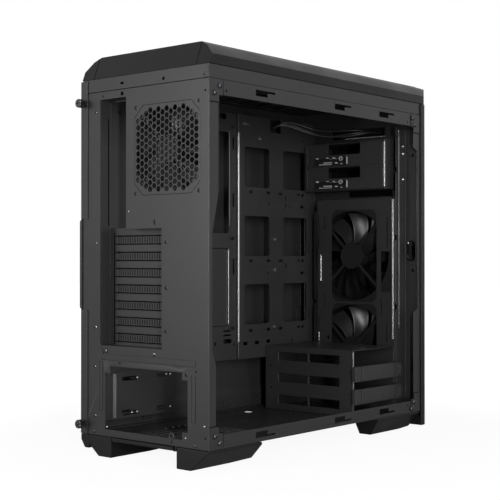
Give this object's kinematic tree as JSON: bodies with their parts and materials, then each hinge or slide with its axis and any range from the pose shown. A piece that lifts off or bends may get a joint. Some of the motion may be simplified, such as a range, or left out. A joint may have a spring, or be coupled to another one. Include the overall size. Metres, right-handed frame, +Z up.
{
  "type": "desktop computer tower",
  "caption": "Empty black computer tower with the near side panel off: steel body, motherboard tray, fans, drive cage and bays, far side panel, moulded front, top cover and feet.",
  "frame": {"origin": "centre of the footprint, on the floor", "axes": "+Z up, +Y towards the rear panel, -X towards the open side"},
  "size_m": [0.2256, 0.515, 0.502],
  "materials": {
    "painted_steel": "fine textured black powder coat",
    "black_plastic": "fine moulded texture",
    "fan_plastic": "satin moulded",
    "grey_plastic": "fine moulded texture",
    "mesh_steel": "matt black",
    "black_metal": "black plated, satin",
    "cable_jacket": "satin jacket",
    "filter_cloth": "fine woven nylon"
  },
  "bodies": {
    "case": {"rear_panel": "painted_steel", "rear_fan_grille": "painted_steel", "card_frame": "painted_steel", "slot_cover_1": "painted_steel", "slot_cover_2": "painted_steel", "slot_cover_3": "painted_steel", "slot_cover_4": "painted_steel", "slot_cover_5": "painted_steel", "slot_cover_6": "painted_steel", "slot_cover_7": "painted_steel", "bottom_panel": "painted_steel", "top_panel": "painted_steel", "left_top_rail": "painted_steel", "right_top_rail": "painted_steel", "left_bottom_rail": "painted_steel", "right_bottom_rail": "painted_steel", "fan_plate": "painted_steel", "front_panel": "painted_steel", "motherboard_tray": "painted_steel", "drive_plate": "painted_steel", "hdd_cage": "painted_steel", "bay_cage": "painted_steel", "bay_frame_lower": "grey_plastic", "bay_frame_upper": "grey_plastic", "rear_fan_frame": "fan_plastic", "front_fan_lower_frame": "fan_plastic", "front_fan_upper_frame": "fan_plastic", "foot_rear_left": "black_plastic", "foot_rear_right": "black_plastic", "foot_front_left": "black_plastic", "foot_front_right": "black_plastic", "top_cover": "black_plastic", "top_strip_left": "black_plastic", "top_strip_right": "black_plastic", "front_bezel": "black_plastic", "front_mesh": "mesh_steel", "front_filter": "filter_cloth", "socket_block": "fan_plastic", "front_lead_1": "cable_jacket", "lead_plug_1": "fan_plastic", "front_lead_2": "cable_jacket", "lead_plug_2": "fan_plastic", "front_lead_3": "cable_jacket", "lead_plug_3": "fan_plastic"},
    "rear_fan_rotor": {"rear_fan_rotor": "fan_plastic"},
    "front_fan_upper_rotor": {"front_fan_upper_rotor": "fan_plastic"},
    "front_fan_lower_rotor": {"front_fan_lower_rotor": "fan_plastic"},
    "side_panel": {"right_side_panel": "painted_steel"},
    "thumb_upper": {"thumb_screw_upper": "black_metal"},
    "thumb_lower": {"thumb_screw_lower": "black_metal"},
    "tray_upper": {"drive_tray_upper": "grey_plastic"},
    "tray_lower": {"drive_tray_lower": "grey_plastic"},
    "latch_upper": {"bay_latch_upper": "fan_plastic"},
    "latch_lower": {"bay_latch_lower": "fan_plastic"},
    "bay_cover_upper": {"bay_cover_upper": "black_plastic"},
    "bay_cover_lower": {"bay_cover_lower": "black_plastic"},
    "power_button": {"power_button": "black_plastic"},
    "reset_button": {"reset_button": "black_plastic"},
    "dust_filter": {"psu_dust_filter": "black_plastic"}
  },
  "joints": [
    {"name": "rear_fan_spin", "type": "hinge", "parent": "case", "child": "rear_fan_rotor", "pos_m": [-0.04255, 0.2305, 0.3785], "axis": [0, 1, 0], "continuous": true},
    {"name": "front_fan_upper_spin", "type": "hinge", "parent": "case", "child": "front_fan_upper_rotor", "pos_m": [-0.00575, -0.2003, 0.2513], "axis": [0, 1, 0], "continuous": true},
    {"name": "front_fan_lower_spin", "type": "hinge", "parent": "case", "child": "front_fan_lower_rotor", "pos_m": [-0.00575, -0.2003, 0.111], "axis": [0, 1, 0], "continuous": true},
    {"name": "side_panel_slide", "type": "slide", "parent": "case", "child": "side_panel", "axis": [0, 1, 0], "range_m": [0, 0.018]},
    {"name": "thumb_upper_turn", "type": "hinge", "parent": "side_panel", "child": "thumb_upper", "pos_m": [0.10065, 0.2525, 0.4432], "axis": [0, 1, 0], "continuous": true},
    {"name": "thumb_lower_turn", "type": "hinge", "parent": "side_panel", "child": "thumb_lower", "pos_m": [0.10065, 0.2525, 0.039], "axis": [0, 1, 0], "continuous": true},
    {"name": "tray_upper_slide", "type": "slide", "parent": "case", "child": "tray_upper", "axis": [-1, 0, 0], "range_m": [0, 0.14]},
    {"name": "tray_lower_slide", "type": "slide", "parent": "case", "child": "tray_lower", "axis": [-1, 0, 0], "range_m": [0, 0.14]},
    {"name": "latch_upper_slide", "type": "slide", "parent": "case", "child": "latch_upper", "axis": [1, 0, 0], "range_m": [0, 0.008]},
    {"name": "latch_lower_slide", "type": "slide", "parent": "case", "child": "latch_lower", "axis": [1, 0, 0], "range_m": [0, 0.008]},
    {"name": "bay_cover_upper_slide", "type": "slide", "parent": "case", "child": "bay_cover_upper", "axis": [0, -1, 0], "range_m": [0, 0.025]},
    {"name": "bay_cover_lower_slide", "type": "slide", "parent": "case", "child": "bay_cover_lower", "axis": [0, -1, 0], "range_m": [0, 0.025]},
    {"name": "power_press", "type": "slide", "parent": "case", "child": "power_button", "axis": [0, 1, 0], "range_m": [0, 0.003], "stiffness_N_per_m": 300},
    {"name": "reset_press", "type": "slide", "parent": "case", "child": "reset_button", "axis": [0, 1, 0], "range_m": [0, 0.002], "stiffness_N_per_m": 300},
    {"name": "dust_filter_slide", "type": "slide", "parent": "case", "child": "dust_filter", "axis": [0, 1, 0], "range_m": [0, 0.14]}
  ]
}
